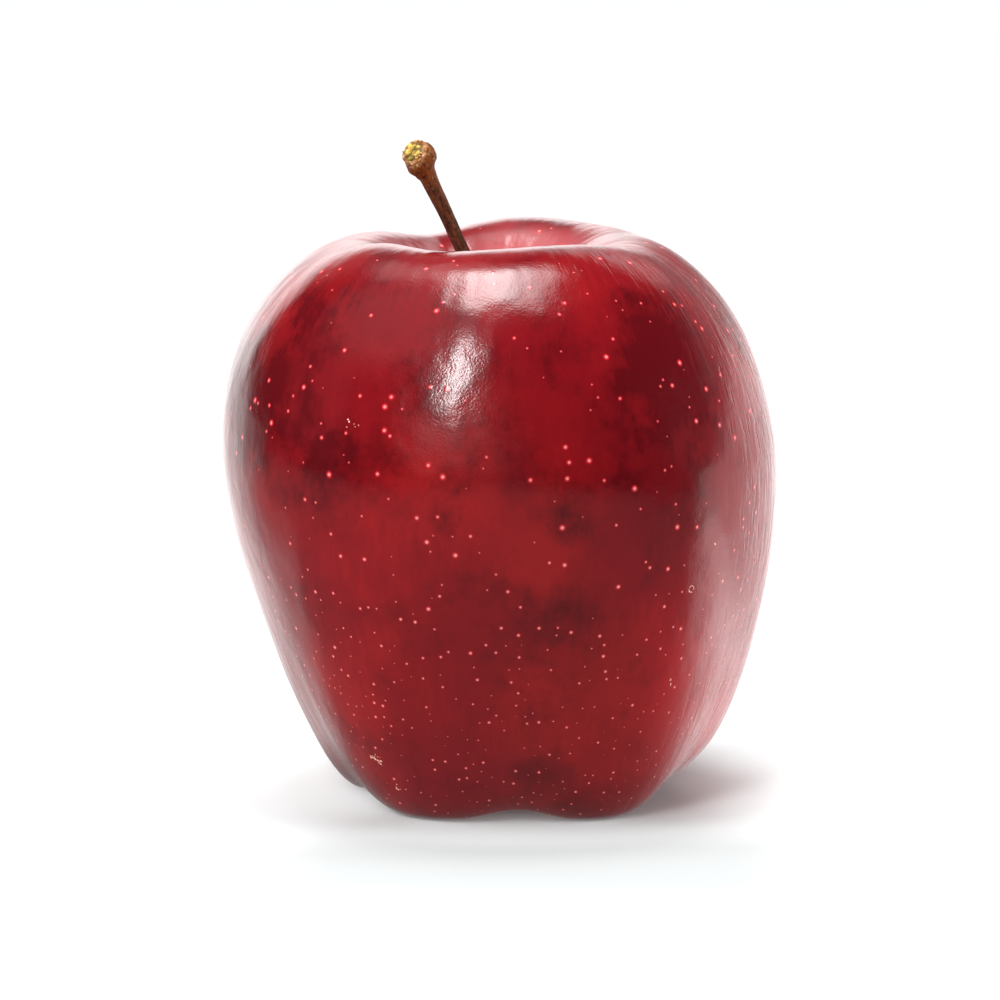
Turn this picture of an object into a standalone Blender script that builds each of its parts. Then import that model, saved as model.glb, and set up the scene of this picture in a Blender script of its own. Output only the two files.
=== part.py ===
"""Red apple with its woody stem and its dried calyx.

The fruit is one solid. Its outline is drawn once, through the crest of a lobe, from the socket of
the stem over the shoulder and down to the calyx, and turned round the core line. Five grooves are
pressed into it, and each of the five lobes between them ends at its own height. The stem and the
calyx are separate pieces, each standing in a socket of the fruit with a gap of 0.3 mm.

Metres, +Z up. The origin is on the surface that the apple stands on, under the middle of the fruit.
"""

import math

import bmesh
import bpy
from mathutils import Matrix, Vector

MM = 0.001

# ---------------------------------------------------------------- driving dimensions

# The fruit's outline through a lobe: (distance from the core line, height, depth of the groove), mm.
OUTLINE = (
    (0.0, 61.0, 0.0),  # floor of the stem's socket
    (1.5, 61.0, 0.0),
    (1.9, 61.6, 0.0),
    (2.0, 63.6, 0.0),  # mouth of the socket
    (3.6, 65.8, 0.2),
    (7.2, 70.0, 0.6),
    (11.4, 74.2, 0.9),
    (15.6, 76.7, 1.0),
    (20.2, 77.2, 1.0),  # rim of the stem's cavity
    (25.4, 74.9, 0.9),
    (30.6, 69.9, 0.8),  # shoulder
    (34.9, 62.6, 0.7),
    (37.4, 53.8, 0.6),
    (38.2, 45.2, 0.7),  # widest
    (36.9, 34.6, 0.9),
    (34.5, 24.8, 1.2),
    (31.5, 15.0, 1.6),
    (28.0, 7.0, 2.0),
    (24.9, 1.8, 2.3),
    (21.0, -0.8, 2.4),  # foot of a crown lobe, flat where it would reach below the surface
    (16.0, 1.2, 2.2),
    (11.6, 4.8, 1.7),
    (8.3, 8.1, 1.0),
    (5.4, 10.0, 0.4),
    (3.7, 10.7, 0.0),  # mouth of the calyx's socket
    (3.4, 11.9, 0.0),
    (2.9, 12.5, 0.0),
    (0.0, 12.5, 0.0),  # floor of the calyx's socket
)
RINGS_PER_SPAN = 2
SEGMENTS = 72

# The five grooves: azimuth from +X towards +Y in degrees, and depth against that of the outline.
SHOULDER_GROOVES = ((-13.0, 1.0), (30.0, 0.2), (115.0, 1.8), (195.0, 1.0), (247.0, 0.6))
CROWN_GROOVES = ((-22.0, 1.0), (46.0, 1.0), (125.0, 1.0), (199.0, 1.0), (271.0, 1.0))
GROOVE_SOFTNESS = 0.45  # 0 is a sharp fold between two lobes
SHOULDER_HEIGHT = 74.0 * MM
CROWN_HEIGHT = 34.0 * MM

# How far each of the five lobes stands above the outline at the shoulder and at the crown, mm.
SHOULDER_LIFTS = (-0.7, 0.2, -0.9, -0.2, 0.0)
CROWN_LIFTS = (2.4, 0.0, 0.0, 0.0, 0.0)
SHOULDER_REACH = (63.0 * MM, 76.0 * MM)  # heights between which a lift at the shoulder fades in
CROWN_REACH = (10.0 * MM, 0.0)

LEAN = 1.75 * MM  # how far the shoulder stands towards -X from the middle, and the crown towards +X
LEAN_SPAN = 22.0 * MM
MIDDLE_HEIGHT = 38.0 * MM

STEM_PATH = (  # centre line (x, y, z) and radius, mm
    (-1.4, 0.0, 61.4, 1.5),
    (-1.5, 0.0, 64.2, 1.3),
    (-2.6, -0.1, 68.2, 1.1),
    (-4.5, -0.3, 72.4, 0.98),
    (-6.4, -0.5, 76.7, 0.95),
    (-8.2, -0.8, 80.7, 1.02),
    (-9.5, -1.1, 83.4, 1.12),
    (-10.1, -1.3, 84.8, 1.22),
    (-10.6, -1.45, 85.7, 1.55),  # neck of the knob
    (-11.0, -1.6, 86.5, 2.05),
    (-11.2, -1.7, 87.5, 2.2),
    (-11.35, -1.8, 88.4, 2.05),
    (-11.5, -1.9, 89.2, 1.5),
    (-11.55, -1.95, 89.6, 0.8),
)
STEM_STEPS = 3  # rings for each stretch of the path
STEM_ROUNDNESS = 6
WELD = 0.01 * MM

KNOB_CENTRE = Vector((-11.2, -1.7, 87.5)) * MM
SCAR_NORMAL = Vector((-0.50, -0.68, 0.54)).normalized()  # the face that tore off the twig
SCAR_DEPTH = 1.4 * MM  # from the knob's centre to the face
SCAR_RADIUS = 1.6 * MM
SCAR_RIM = 0.34 * MM
SCAR_CUT = 8.0 * MM  # side of the block that the face is cut with
LUMPS = 5
LUMP_RADIUS = 0.72 * MM
LUMP_REACH = 0.86 * MM  # from the middle of the scar

CALYX_TOP = Vector((1.47, 0.0, 12.2)) * MM  # middle of the button's upper face
CALYX_RADIUS = 2.75 * MM
CALYX_TAPER = 0.2 * MM
CALYX_HEIGHT = 1.7 * MM
SEPALS = 5
SEPAL_FOOT = Vector((2.15, 0.0, -1.1)) * MM  # from the middle of the button's upper face
SEPAL_LENGTH = 6.4 * MM
SEPAL_HALF_WIDTH = 1.0 * MM  # at its foot
SEPAL_SPREAD = 1.6 * MM  # how much wider its sides would be at its tip if they didn't close
SEPAL_TIP = 0.2 * MM
SEPAL_THICKNESS = 0.7 * MM
SEPAL_FLARE = 2.6 * MM  # how far a tip curls away from the middle
SEPAL_CUP = 0.25  # depth of its hollow face for each unit of its half width
STAMENS = 10
STAMEN_LENGTH = 3.4 * MM
STAMEN_RADIUS = 0.3 * MM
STAMEN_RING = 0.9 * MM
STAMEN_TILTS = (10.0, 24.0)  # degrees, by turns


# ---------------------------------------------------------------- scene and materials


def empty_scene():
    for obj in list(bpy.data.objects):
        bpy.data.objects.remove(obj)


def material(name, colour, roughness):
    made = bpy.data.materials.new(name)
    made.use_nodes = True
    shader = made.node_tree.nodes["Principled BSDF"]
    shader.inputs["Base Color"].default_value = (*colour, 1.0)
    shader.inputs["Roughness"].default_value = roughness
    shader.inputs["Metallic"].default_value = 0.0
    made.diffuse_color = (*colour, 1.0)
    return made


def collection(name):
    made = bpy.data.collections.new(name)
    bpy.context.scene.collection.children.link(made)
    return made


def object_of(name, bm, group, finish=None):
    """An object with the mesh that is in bm, shaded smooth."""
    mesh = bpy.data.meshes.new(name)
    bm.to_mesh(mesh)
    bm.free()
    mesh.shade_smooth()
    obj = bpy.data.objects.new(name, mesh)
    group.objects.link(obj)
    if finish:
        mesh.materials.append(finish)
    return obj


def bake(obj):
    """Gives the object the mesh that its modifiers make."""
    graph = bpy.context.evaluated_depsgraph_get()
    made = bpy.data.meshes.new_from_object(obj.evaluated_get(graph))
    obj.modifiers.clear()
    obj.data = made


def fuse(obj, group):
    """Joins the objects of a collection to the object, and removes them."""
    union = obj.modifiers.new("union", "BOOLEAN")
    union.operation = "UNION"
    union.operand_type = "COLLECTION"
    union.collection = group
    bake(obj)
    for joined in list(group.objects):
        bpy.data.objects.remove(joined)
    bpy.data.collections.remove(group)


# ---------------------------------------------------------------- shared shapes


def catmull_rom(points, at):
    """The point at a place from 0 to len(points) - 1 on a smooth curve through the points."""
    i = min(int(at), len(points) - 2)
    t = at - i
    before = points[max(i - 1, 0)]
    after = points[min(i + 2, len(points) - 1)]
    found = []
    for a, b, c, d in zip(before, points[i], points[i + 1], after):
        slope_b = (c - a) / 2
        slope_c = (d - b) / 2
        rise = b - c
        cubic = 2 * rise + slope_b + slope_c
        square = -3 * rise - 2 * slope_b - slope_c
        found.append(b + t * (slope_b + t * (square + t * cubic)))
    return found


def smoothstep(low, high, value):
    t = min(max((value - low) / (high - low), 0.0), 1.0)
    return t * t * (3 - 2 * t)


def mix(a, b, share):
    return a + (b - a) * share


# ---------------------------------------------------------------- fruit


def groove_and_lift(azimuth, height):
    """How deep the groove is at an azimuth, from 0 on a crest, and the lift of the lobe there."""
    high = smoothstep(CROWN_HEIGHT, SHOULDER_HEIGHT, height)
    grooves = [
        (mix(low[0], top[0], high), mix(low[1], top[1], high))
        for low, top in zip(CROWN_GROOVES, SHOULDER_GROOVES)
    ]
    count = len(grooves)
    edges = [groove[0] for groove in grooves] + [grooves[0][0] + 360]
    turned = (azimuth - edges[0]) % 360 + edges[0]
    i = max(k for k in range(count) if edges[k] <= turned)
    share = (turned - edges[i]) / (edges[i + 1] - edges[i])
    soft = GROOVE_SOFTNESS
    crest = (math.hypot(math.sin(math.pi * share), soft) - soft) / (math.hypot(1, soft) - soft)
    strength = mix(grooves[i][1], grooves[(i + 1) % count][1], smoothstep(0.0, 1.0, share))

    neighbour = (i + 1) % count if share > 0.5 else i - 1
    towards = smoothstep(0.0, 1.0, abs(share - 0.5))
    shoulder = mix(SHOULDER_LIFTS[i], SHOULDER_LIFTS[neighbour], towards)
    crown = mix(CROWN_LIFTS[i], CROWN_LIFTS[neighbour], towards)
    lift = shoulder * smoothstep(*SHOULDER_REACH, height) + crown * smoothstep(*CROWN_REACH, height)
    return (1 - crest) * strength, lift * MM


def skin_point(place, azimuth):
    """The fruit's surface at a place along the outline, from 0 to 1, and an azimuth in degrees."""
    at = place * (len(OUTLINE) - 1)
    step = 0.01
    distance, height, depth = (value * MM for value in catmull_rom(OUTLINE, at))
    ahead = catmull_rom(OUTLINE, min(at + step, len(OUTLINE) - 1))
    behind = catmull_rom(OUTLINE, max(at - step, 0))
    outwards = Vector((behind[1] - ahead[1], ahead[0] - behind[0])).normalized()
    groove, lift = groove_and_lift(azimuth, height)
    distance = max(distance - outwards.x * depth * groove, 0.0)
    height += lift - outwards.y * depth * groove
    turn = math.radians(azimuth)
    x = distance * math.cos(turn) - LEAN * math.tanh((height - MIDDLE_HEIGHT) / LEAN_SPAN)
    y = distance * math.sin(turn)
    return Vector((x, y, max(height, 0.0)))


def make_fruit(group):
    rings = (len(OUTLINE) - 1) * RINGS_PER_SPAN
    bm = bmesh.new()
    bmesh.ops.create_uvsphere(bm, u_segments=SEGMENTS, v_segments=rings, radius=1.0)
    for vert in bm.verts:
        place = math.acos(min(max(vert.co.z, -1.0), 1.0)) / math.pi
        azimuth = math.degrees(math.atan2(vert.co.y, vert.co.x))
        vert.co = skin_point(place, azimuth)
    return object_of("fruit", bm, group, material("apple_skin", (0.26, 0.012, 0.016), 0.25))


# ---------------------------------------------------------------- stem


def stem_bar(group, finish):
    """A round bar along the stem's path, with its closed ends welded."""
    curve = bpy.data.curves.new("stem_path", "CURVE")
    curve.dimensions = "3D"
    curve.bevel_depth = MM
    curve.bevel_resolution = STEM_ROUNDNESS
    curve.use_fill_caps = True
    places = [k / STEM_STEPS for k in range((len(STEM_PATH) - 1) * STEM_STEPS + 1)]
    spline = curve.splines.new("POLY")
    spline.points.add(len(places) - 1)
    for point, place in zip(spline.points, places):
        x, y, z, radius = catmull_rom(STEM_PATH, place)
        point.co = (x * MM, y * MM, z * MM, 1.0)
        point.radius = radius
    drawn = bpy.data.objects.new("stem_path", curve)
    group.objects.link(drawn)
    graph = bpy.context.evaluated_depsgraph_get()
    mesh = bpy.data.meshes.new_from_object(drawn.evaluated_get(graph))
    bpy.data.objects.remove(drawn)
    bm = bmesh.new()
    bm.from_mesh(mesh)
    bmesh.ops.remove_doubles(bm, verts=bm.verts, dist=WELD)
    return object_of("stem", bm, group, finish)


def cut_scar(stem, face, cutters):
    """Cuts the knob off along the scar's face."""
    bm = bmesh.new()
    outside = Matrix.Translation((0, 0, SCAR_CUT / 2))
    bmesh.ops.create_cube(bm, size=SCAR_CUT, matrix=face @ outside)
    cutter = object_of("scar_cutter", bm, cutters)
    cut = stem.modifiers.new("scar", "BOOLEAN")
    cut.operation = "DIFFERENCE"
    cut.object = cutter
    bake(stem)
    bpy.data.objects.remove(cutter)


def make_stem(group, cutters):
    """The woody stem. Its knob has an oblique scar with a rim and five corky lumps."""
    stem = stem_bar(group, material("stem_bark", (0.10, 0.028, 0.014), 0.7))
    facing = SCAR_NORMAL.to_track_quat("Z", "Y").to_matrix().to_4x4()
    face = Matrix.Translation(KNOB_CENTRE + SCAR_NORMAL * SCAR_DEPTH) @ facing
    cut_scar(stem, face, cutters)

    corky = collection("corky_pieces")
    bpy.ops.mesh.primitive_torus_add(
        major_radius=SCAR_RADIUS, minor_radius=SCAR_RIM, major_segments=20, minor_segments=8
    )
    rim = bpy.context.object
    rim.data.transform(face)
    for owner in list(rim.users_collection):
        owner.objects.unlink(rim)
    corky.objects.link(rim)
    for k in range(LUMPS):
        turn = 2 * math.pi * k / LUMPS
        radius = LUMP_RADIUS * (1 + 0.2 * math.sin(3 * turn + 1))
        place = Matrix.Translation((LUMP_REACH * math.cos(turn), LUMP_REACH * math.sin(turn), 0))
        bm = bmesh.new()
        bmesh.ops.create_icosphere(bm, subdivisions=2, radius=radius, matrix=face @ place)
        object_of("lump", bm, corky)
    fuse(stem, corky)


# ---------------------------------------------------------------- calyx


def sepal_point(across, along, curl):
    """A point of a sepal's middle face: across from -1 to 1, along from 0 at its foot to 1."""
    closing = (1 - along) ** 0.7
    width = (SEPAL_HALF_WIDTH + SEPAL_SPREAD * along) * closing + SEPAL_TIP
    out = curl * SEPAL_FLARE * along**2 - SEPAL_CUP * width * across**2
    down = SEPAL_LENGTH * (along - 0.15 * along**3)
    return SEPAL_FOOT + Vector((out, across * width, -down))


def make_sepal(place, curl, group):
    bm = bmesh.new()
    bmesh.ops.create_grid(bm, x_segments=4, y_segments=8, size=1.0)
    for vert in bm.verts:
        vert.co = place @ sepal_point(vert.co.x, (vert.co.y + 1) / 2, curl)
    sepal = object_of("sepal", bm, group)
    thick = sepal.modifiers.new("thickness", "SOLIDIFY")
    thick.thickness = SEPAL_THICKNESS
    thick.offset = 0.0


def make_calyx(group):
    """The dried remains of the flower: a button with pointed sepals and a tuft of stamens."""
    top = Matrix.Translation(CALYX_TOP)
    bm = bmesh.new()
    bmesh.ops.create_cone(
        bm, cap_ends=True, segments=24, radius1=CALYX_RADIUS - CALYX_TAPER, radius2=CALYX_RADIUS,
        depth=CALYX_HEIGHT, matrix=top @ Matrix.Translation((0, 0, -CALYX_HEIGHT / 2)),
    )
    calyx = object_of("calyx", bm, group, material("calyx_dry", (0.09, 0.055, 0.03), 0.85))

    dried = collection("dried_pieces")
    for k in range(SEPALS):
        turn = Matrix.Rotation(2 * math.pi * (k + 0.3) / SEPALS, 4, "Z")
        make_sepal(top @ turn, 1 + 0.3 * math.sin(2.3 * k), dried)
    drop = Matrix.Translation((STAMEN_RING, 0, -(CALYX_HEIGHT + STAMEN_LENGTH) / 2))
    for k in range(STAMENS):
        turn = Matrix.Rotation(2 * math.pi * k / STAMENS, 4, "Z")
        tilt = Matrix.Rotation(-math.radians(STAMEN_TILTS[k % 2]), 4, "Y")
        bm = bmesh.new()
        bmesh.ops.create_cone(
            bm, cap_ends=True, segments=6, radius1=STAMEN_RADIUS, radius2=STAMEN_RADIUS,
            depth=STAMEN_LENGTH, matrix=top @ turn @ tilt @ drop,
        )
        object_of("stamen", bm, dried)
    fuse(calyx, dried)


# ---------------------------------------------------------------- the whole apple


def centre(fruit, group):
    """Moves every piece so that the fruit's box stands over the origin."""
    corners = [Vector(corner) for corner in fruit.bound_box]
    low = Vector((min(c.x for c in corners), min(c.y for c in corners), 0))
    high = Vector((max(c.x for c in corners), max(c.y for c in corners), 0))
    shift = Matrix.Translation(-(low + high) / 2)
    for obj in group.objects:
        obj.data.transform(shift)


def main():
    empty_scene()
    apple = collection("red_apple")
    cutters = collection("cutters")
    fruit = make_fruit(apple)
    make_stem(apple, cutters)
    make_calyx(apple)
    centre(fruit, apple)


main()
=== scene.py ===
"""The looks of a red apple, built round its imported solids: the waxy red skin with its pale dots and
corky marks, the bark of the stem and the scar on its knob, the dried calyx, and a plain pale studio.

Metres, +Z up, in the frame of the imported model. The camera side is -Y.
"""

import math
import random

import bmesh
import bpy
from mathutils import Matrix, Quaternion, Vector, noise
from mathutils.bvhtree import BVHTree


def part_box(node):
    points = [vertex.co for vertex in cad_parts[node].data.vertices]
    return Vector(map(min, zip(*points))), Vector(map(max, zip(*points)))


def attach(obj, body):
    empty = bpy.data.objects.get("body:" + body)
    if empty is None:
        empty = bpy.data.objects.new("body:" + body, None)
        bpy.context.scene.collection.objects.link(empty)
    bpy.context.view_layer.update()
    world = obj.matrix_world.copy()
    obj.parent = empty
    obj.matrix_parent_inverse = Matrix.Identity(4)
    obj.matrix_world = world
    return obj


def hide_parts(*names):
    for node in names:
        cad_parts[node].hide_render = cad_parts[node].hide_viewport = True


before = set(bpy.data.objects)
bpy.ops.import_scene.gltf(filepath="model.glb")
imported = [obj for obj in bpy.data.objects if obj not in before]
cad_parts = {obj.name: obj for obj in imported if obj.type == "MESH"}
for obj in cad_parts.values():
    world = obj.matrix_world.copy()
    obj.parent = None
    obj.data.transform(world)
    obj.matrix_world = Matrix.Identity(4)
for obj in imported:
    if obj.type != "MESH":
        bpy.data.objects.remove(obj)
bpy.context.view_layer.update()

MM = 0.001


# ================================================================ the skin
#
# A thin red skin over one body of flesh, with a coat of wax that makes it gloss. It is drawn
# smoothly over five lobes, and slight ripples run down it from the stem to the calyx.

WELD = 0.001 * MM
FLATTEST_FOLD = math.radians(40)  # how far apart two triangles may face and still become one face
SKEWEST_FACE = math.radians(50)
SKIN_DETAIL = 2
RIPPLE_HEIGHT = 0.06 * MM
RIPPLES_ACROSS = 11.0  # for each radian round the core
RIPPLES_ALONG = 60.0  # for each metre of height
FLAT_FEET = (0.4 * MM, 4.0 * MM)  # heights between which the ripples fade in above the feet
CLEAR_OF_SOCKETS = (4.0 * MM, 9.0 * MM)  # distances from the core line between which they fade in


class Value:
    """A socket of a node tree. Arithmetic on it adds Math nodes to the tree."""

    def __init__(self, graph, socket):
        self.graph = graph
        self.socket = socket

    def also(self, name):
        """Another output of the same node."""
        return Value(self.graph, self.socket.node.outputs[name])

    def __add__(self, other):
        return self.graph.math("ADD", self, other)

    def __radd__(self, other):
        return self.graph.math("ADD", other, self)

    def __sub__(self, other):
        return self.graph.math("SUBTRACT", self, other)

    def __rsub__(self, other):
        return self.graph.math("SUBTRACT", other, self)

    def __mul__(self, other):
        return self.graph.math("MULTIPLY", self, other)

    def __rmul__(self, other):
        return self.graph.math("MULTIPLY", other, self)

    def __truediv__(self, other):
        return self.graph.math("DIVIDE", self, other)

    def __rtruediv__(self, other):
        return self.graph.math("DIVIDE", other, self)

    def __abs__(self):
        return self.graph.math("ABSOLUTE", self)


class Graph:
    """A tree of nodes, for a material, for the studio's light or for Geometry Nodes."""

    def __init__(self, tree):
        self.tree = tree

    def node(self, kind, settings=(), sockets=(), output=0):
        """Adds a node. Its settings come first, then values or links for its sockets."""
        made = self.tree.nodes.new(kind)
        for name, value in dict(settings).items():
            setattr(made, name, value)
        for name, value in dict(sockets).items():
            if isinstance(value, Value):
                self.tree.links.new(value.socket, made.inputs[name])
            else:
                made.inputs[name].default_value = value
        return Value(self, made.outputs[output]) if len(made.outputs) else made

    def math(self, operation, *values):
        return self.node("ShaderNodeMath", {"operation": operation}, dict(enumerate(values)))

    def vector(self, operation, *values, output=0):
        sockets = dict(enumerate(values))
        return self.node("ShaderNodeVectorMath", {"operation": operation}, sockets, output)

    def scaled(self, vector, factor):
        sockets = {"Vector": vector, "Scale": factor}
        return self.node("ShaderNodeVectorMath", {"operation": "SCALE"}, sockets)

    def along(self, vector, direction):
        """How far a vector goes in a direction."""
        return self.vector("DOT_PRODUCT", vector, tuple(direction), output="Value")

    def split(self, vector):
        """The vector's three numbers."""
        x = self.node("ShaderNodeSeparateXYZ", {}, {"Vector": vector}, "X")
        return x, x.also("Y"), x.also("Z")

    def joined(self, x, y, z):
        return self.node("ShaderNodeCombineXYZ", {}, {"X": x, "Y": y, "Z": z})

    def far(self, x, y):
        """The distance from the middle of a place that is x and y away from it."""
        return self.math("SQRT", x * x + y * y)

    def fade(self, value, low, high):
        """From 0 at low to 1 at high, with soft ends."""
        sockets = {"Value": value, "From Min": low, "From Max": high, "To Min": 0.0, "To Max": 1.0}
        return self.node("ShaderNodeMapRange", {"interpolation_type": "SMOOTHSTEP"}, sockets)

    def noise(self, vector, scale, detail=2.0, roughness=0.5, distortion=0.0):
        sockets = {"Vector": vector, "Scale": scale, "Detail": detail, "Roughness": roughness,
                   "Distortion": distortion}
        return self.node("ShaderNodeTexNoise", {}, sockets)

    def blend(self, a, b, factor):
        """A colour from a, where the factor is 0, to b, where it is 1."""
        sockets = {0: factor, 6: a, 7: b}
        return self.node("ShaderNodeMix", {"data_type": "RGBA"}, sockets, 2)

    def object_place(self):
        return self.node("ShaderNodeTexCoord", {}, {}, "Object")

    def attribute(self, name):
        return self.node("ShaderNodeAttribute", {"attribute_name": name}, {}, "Fac")


def down_the_skin(graph, place, along):
    """A vector for patterns that run down the skin: round the core in radians, and along it."""
    x, y, z = graph.split(place)
    outwards = graph.vector("NORMALIZE", graph.joined(x, y, 0.0))
    return graph.vector("ADD", outwards, graph.joined(0.0, 0.0, z * along))


def geometry_tree(name, inputs):
    """An empty Geometry Nodes tree with these named inputs besides its geometry."""
    tree = bpy.data.node_groups.new(name, "GeometryNodeTree")
    tree.interface.new_socket("Geometry", in_out="INPUT", socket_type="NodeSocketGeometry")
    for label, kind in inputs.items():
        tree.interface.new_socket(label, in_out="INPUT", socket_type="NodeSocket" + kind)
    tree.interface.new_socket("Geometry", in_out="OUTPUT", socket_type="NodeSocketGeometry")
    graph = Graph(tree)
    return graph, graph.node("NodeGroupInput")


def raised(graph, geometry, height):
    """The geometry with its points moved out along their normals."""
    offset = graph.scaled(graph.node("GeometryNodeInputNormal"), height)
    return graph.node("GeometryNodeSetPosition", {}, {"Geometry": geometry, "Offset": offset})


def finish_tree(graph, geometry, material):
    """The end of a tree: real geometry, shaded smooth, in its material."""
    real = graph.node("GeometryNodeRealizeInstances", {}, {"Geometry": geometry})
    smooth = graph.node("GeometryNodeSetShadeSmooth", {}, {"Geometry": real})
    dressed = graph.node("GeometryNodeSetMaterial", {}, {"Geometry": smooth, "Material": material})
    graph.node("NodeGroupOutput", {}, {"Geometry": dressed})


def apply_modifiers(obj):
    """Gives the object the mesh that its modifiers make, and removes them."""
    depsgraph = bpy.context.evaluated_depsgraph_get()
    made = bpy.data.meshes.new_from_object(obj.evaluated_get(depsgraph))
    obj.modifiers.clear()
    obj.data = made


def grow(obj, graph, values):
    """Turns the object's mesh into what the tree makes of it, with these values for its inputs."""
    modifier = obj.modifiers.new(graph.tree.name, "NODES")
    modifier.node_group = graph.tree
    for socket in graph.tree.interface.items_tree:
        if socket.in_out == "INPUT" and socket.name in values:
            modifier[socket.identifier] = values[socket.name]
    apply_modifiers(obj)


def new_object(name, mesh):
    obj = bpy.data.objects.new(name, mesh)
    bpy.context.scene.collection.objects.link(obj)
    return obj


def merged_copy(node, name):
    """A new object with a CAD node's mesh, its loose triangles joined into one surface."""
    bm = bmesh.new()
    bm.from_mesh(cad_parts[node].data)
    bmesh.ops.remove_doubles(bm, verts=bm.verts, dist=WELD)
    bmesh.ops.join_triangles(
        bm, faces=bm.faces, angle_face_threshold=FLATTEST_FOLD, angle_shape_threshold=SKEWEST_FACE
    )
    mesh = bpy.data.meshes.new(name)
    bm.to_mesh(mesh)
    bm.free()
    return new_object(name, mesh)


def new_material(name):
    """A material with a Principled shader, and its graph."""
    material = bpy.data.materials.new(name)
    material.use_nodes = True
    return material, Graph(material.node_tree)


def surface(graph, constants, colour, roughness, height=None, depth=0.0):
    """Sets the Principled shader: its constants, then what varies over the surface."""
    shader = graph.tree.nodes["Principled BSDF"]
    for name, value in constants.items():
        shader.inputs[name].default_value = value
    graph.tree.links.new(colour.socket, shader.inputs["Base Color"])
    graph.tree.links.new(roughness.socket, shader.inputs["Roughness"])
    if height:
        bump = graph.node("ShaderNodeBump", {}, {"Height": height, "Distance": depth})
        graph.tree.links.new(bump.socket, shader.inputs["Normal"])


MAROON = (0.075, 0.0022, 0.0042, 1.0)
CRIMSON = (0.190, 0.0042, 0.0078, 1.0)
SCARLET = (0.265, 0.0072, 0.0086, 1.0)
PAINTED_LIGHT_RED = (0.40, 0.011, 0.016, 1.0)
ROSE = (0.42, 0.100, 0.108, 1.0)
GREEN_TAN = (0.26, 0.15, 0.035, 1.0)

# Every noise below is a scale for each metre, a detail, and where given a roughness and a
# distortion. Where a pattern runs down the skin, the scale is for each radian round the core, and
# the second number says how many radians a metre of height counts as.
MOTTLES = (105.0, 6.0, 0.60)
STREAKS, STREAKS_ALONG = (34.0, 3.0, 0.6), 8.0
GRAIN = (900.0, 3.0, 0.6)
GLOW = (40.0, 3.0, 0.5)
RAYS, RAYS_ALONG = (7.0, 3.0), 5.0
SMEARS = (260.0, 2.0)
WAVES = (210.0, 2.0, 0.45)
PEEL = (3200.0, 1.0, 0.5)
STROKES, STROKES_ALONG = (24.0, 3.0, 0.6, 0.6), 6.0
PITS, PITS_ALONG = (36.0, 2.0, 0.5), 7.0

BLOTCHES_AND_PAINTED_LIGHT = (  # darker red, or painted light that brightens it where the strength is negative: x, y, z, reach (mm), strength
    (24.0, -29.0, 45.0, 17.0, 0.58),
    (21.0, -24.0, 64.0, 11.0, 0.45),
    (-32.0, -13.0, 55.0, 12.0, 0.75),
    (-19.5, -30.0, 50.0, 6.0, 0.50),
    (-1.0, -34.0, 49.0, 6.0, 0.35),
    (9.0, -31.0, 27.0, 9.0, 0.22),
    (-11.0, -25.0, 5.0, 8.0, 0.05),
    (-2.0, -29.0, 15.0, 10.0, -0.30),
    (-28.0, 20.0, 46.0, 14.0, 0.40),
    (9.0, 33.0, 52.0, 15.0, 0.40),
    (34.0, -12.0, 42.0, 18.0, -0.90),
    (30.0, -17.0, 20.0, 15.0, -0.60),
    (-29.0, -14.0, 22.0, 16.0, -0.55),
    (-24.0, -25.0, 66.0, 13.0, 0.25),
    (-13.0, -31.0, 37.0, 13.0, -0.35),
)
BLOTCH_RIM, BLOTCH_HEART = 1.25, 0.35  # shares of their reach between which they fade in
BLOTCH_EDGE = 9.0 * MM  # how far the mottles push their edges about
STREAKS_WEIGHT, GRAIN_WEIGHT = 0.30, 0.12  # in their mix with the mottles
DARK_MOTTLES, MOTTLES_DARKEN = (0.40, 0.76), 0.70  # values of the mix, and how much they darken
GLOWING = (0.40, 0.66)  # values of the glow noise between which crimson turns scarlet
DARK_SHOULDER, SHOULDER_DARKENS = (34.0 * MM, 60.0 * MM), 0.32  # heights, and how much
# Painted light: the red is brightened low on both flanks, the right more than the left.
RIGHT_FLANK, RIGHT_FLANK_LOW = (16.0 * MM, 29.0 * MM), (52.0 * MM, 24.0 * MM)  # x, and heights
LEFT_FLANK, LEFT_FLANK_LOW = (-17.0 * MM, -28.0 * MM), (26.0 * MM, 6.0 * MM)
LEFT_FLANK_SHARE = 0.8  # of the right flank's brightness
FLANKS_EVENLY = 0.35  # share of it that doesn't follow the glow
CAVITY_WALL, CAVITY_HEIGHTS = (17.0 * MM, 9.0 * MM), (55.0 * MM, 62.0 * MM)  # from the core line
CAVITY_BOTTOM = (8.0 * MM, 2.5 * MM)
BASIN_WALL, BASIN_HEIGHTS = (13.0 * MM, 4.0 * MM), (30.0 * MM, 20.0 * MM)
RUSSET_RAYS = (0.30, 0.60)
ROSE_COVER, RUSSET_COVER, CUT_COVER = 0.75, 0.85, 0.9  # of the red under them
CUT_MIDDLE = Vector((33.9, -8.9, 25.0)) * MM  # an old cut, healed as a dark groove
CUT_LINE = Vector((0.17, -0.22, 0.96)).normalized()
CUT_LENGTH = 4.0 * MM
CUT_WIDTH = 0.55 * MM
CUT_TAPER = 0.12  # how much it narrows for each unit along it
CUT_SLOPE = 0.25  # share of its width where it is deepest
CUT_ENDS = (0.55, 0.35)  # shares of its length, from its middle, between which it ends
CUT_RED = (0.16, 0.010, 0.014, 1.0)
SIDES_BEHIND = (-27.0 * MM, -14.0 * MM)  # y between which the brush strokes of the sides fade in
SIDES_OUTWARDS = (13.0 * MM, 22.0 * MM)  # and distances from the core line
SIDES_RIGHT, SIDES_LEFT_SHARE = (-10.0 * MM, 15.0 * MM), 0.10  # x, and what is left on the left
PITTED = (0.56, 0.70)
GLOSS_ROUGHNESS, SMEAR_ROUGHNESS, RUSSET_ROUGHNESS = 0.15, 0.06, 0.3
RELIEF_DEPTH = 0.05 * MM
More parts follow.
